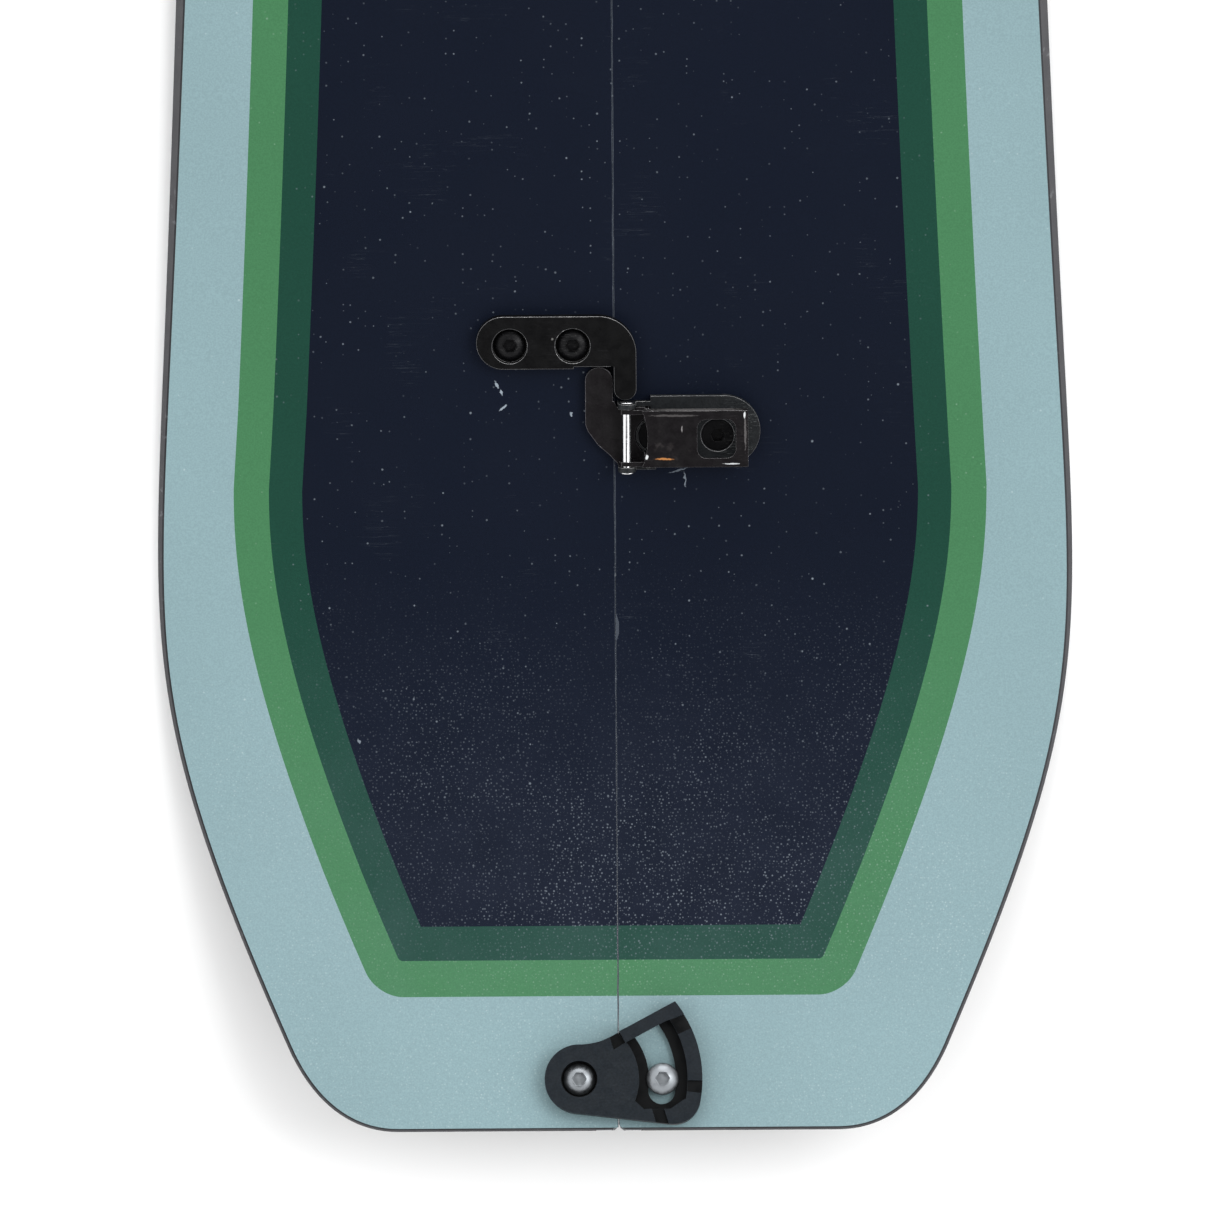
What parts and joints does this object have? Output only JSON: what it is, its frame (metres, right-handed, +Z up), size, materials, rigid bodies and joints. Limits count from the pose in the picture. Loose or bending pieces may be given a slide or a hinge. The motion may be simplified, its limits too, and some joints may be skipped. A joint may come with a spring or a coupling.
{
  "type": "splitboard",
  "caption": "Snowboard that divides along its length into two skis, held together by pivoting tip clips and lever latches on the seam.",
  "frame": {"origin": "on the floor, under the middle of the board's length and width", "axes": "+X to the right ski, +Y towards the nose, +Z up out of the topsheet"},
  "size_m": [0.3032, 1.58, 0.064],
  "materials": {
    "base": "sintered, waxed",
    "edge_steel": "ground",
    "laminate": "cured glass and resin",
    "core_wood": "planed",
    "spacer": "plain",
    "sidewall": "satin",
    "topsheet": "satin, printed bands of pale blue, greens and navy",
    "insert_steel": "turned",
    "clip_plastic": "dark anodised, satin",
    "screw_silver": "bright",
    "hook_metal": "black, satin",
    "lever_metal": "dark, worn",
    "pin_steel": "polished"
  },
  "bodies": {
    "board": {"base_left": "base", "outer_edge_left": "edge_steel", "inner_edge_left": "edge_steel", "lower_laminate_left": "laminate", "core_left": "core_wood", "tail_spacer_left": "spacer", "nose_spacer_left": "spacer", "outer_sidewall_left": "sidewall", "inner_sidewall_left": "sidewall", "upper_laminate_left": "laminate", "topsheet_left": "topsheet", "binding_inserts_left": "insert_steel", "touring_inserts_left": "insert_steel", "hardware_inserts_left": "insert_steel", "base_right": "base", "outer_edge_right": "edge_steel", "inner_edge_right": "edge_steel", "lower_laminate_right": "laminate", "core_right": "core_wood", "tail_spacer_right": "spacer", "nose_spacer_right": "spacer", "outer_sidewall_right": "sidewall", "inner_sidewall_right": "sidewall", "upper_laminate_right": "laminate", "topsheet_right": "topsheet", "binding_inserts_right": "insert_steel", "touring_inserts_right": "insert_steel", "hardware_inserts_right": "insert_steel", "tail_clip_bushing": "screw_silver", "tail_clip_pivot_screw": "screw_silver", "tail_stud_bushing": "screw_silver", "tail_stud_screw": "screw_silver", "nose_clip_bushing": "screw_silver", "nose_clip_pivot_screw": "screw_silver", "nose_stud_bushing": "screw_silver", "nose_stud_screw": "screw_silver", "rear_fixed_hook": "hook_metal", "rear_fixed_hook_screws": "hook_metal", "rear_latch_base": "hook_metal", "rear_latch_screws": "hook_metal", "rear_latch_pin": "pin_steel", "front_fixed_hook": "hook_metal", "front_fixed_hook_screws": "hook_metal", "front_latch_base": "hook_metal", "front_latch_screws": "hook_metal", "front_latch_pin": "pin_steel"},
    "tail_clip": {"tail_clip": "clip_plastic"},
    "nose_clip": {"nose_clip": "clip_plastic"},
    "rear_lever": {"rear_latch_lever": "lever_metal"},
    "rear_draw_hook": {"rear_draw_hook": "hook_metal"},
    "front_lever": {"front_latch_lever": "lever_metal"},
    "front_draw_hook": {"front_draw_hook": "hook_metal"}
  },
  "joints": [
    {"name": "rear_lever_hinge", "type": "hinge", "parent": "board", "child": "rear_lever", "pos_m": [0.004, -0.57007, 0.01305], "axis": [0, -0.9996, -0.0268], "range_deg": [0, 100]},
    {"name": "rear_draw_slide", "type": "slide", "parent": "board", "child": "rear_draw_hook", "axis": [-1, 0, 0], "range_m": [0, 0.00302]},
    {"name": "front_lever_hinge", "type": "hinge", "parent": "board", "child": "front_lever", "pos_m": [-0.004, 0.51908, 0.0138], "axis": [0, 0.9996, -0.0271], "range_deg": [0, 100]},
    {"name": "front_draw_slide", "type": "slide", "parent": "board", "child": "front_draw_hook", "axis": [1, 0, 0], "range_m": [0, 0.00302]},
    {"name": "tail_clip_hinge", "type": "hinge", "parent": "board", "child": "tail_clip", "pos_m": [-0.0125, -0.77309, 0.03551], "axis": [0, 0.2366, 0.9716], "range_deg": [-120, 6]},
    {"name": "nose_clip_hinge", "type": "hinge", "parent": "board", "child": "nose_clip", "pos_m": [0.0125, 0.76794, 0.05658], "axis": [0, -0.3519, 0.936], "range_deg": [-120, 6]}
  ],
  "couplings": [
    {"joint": "rear_draw_slide", "follows": "rear_lever_hinge", "m_per_rad": 0.0017189},
    {"joint": "front_draw_slide", "follows": "front_lever_hinge", "m_per_rad": 0.0017189}
  ]
}
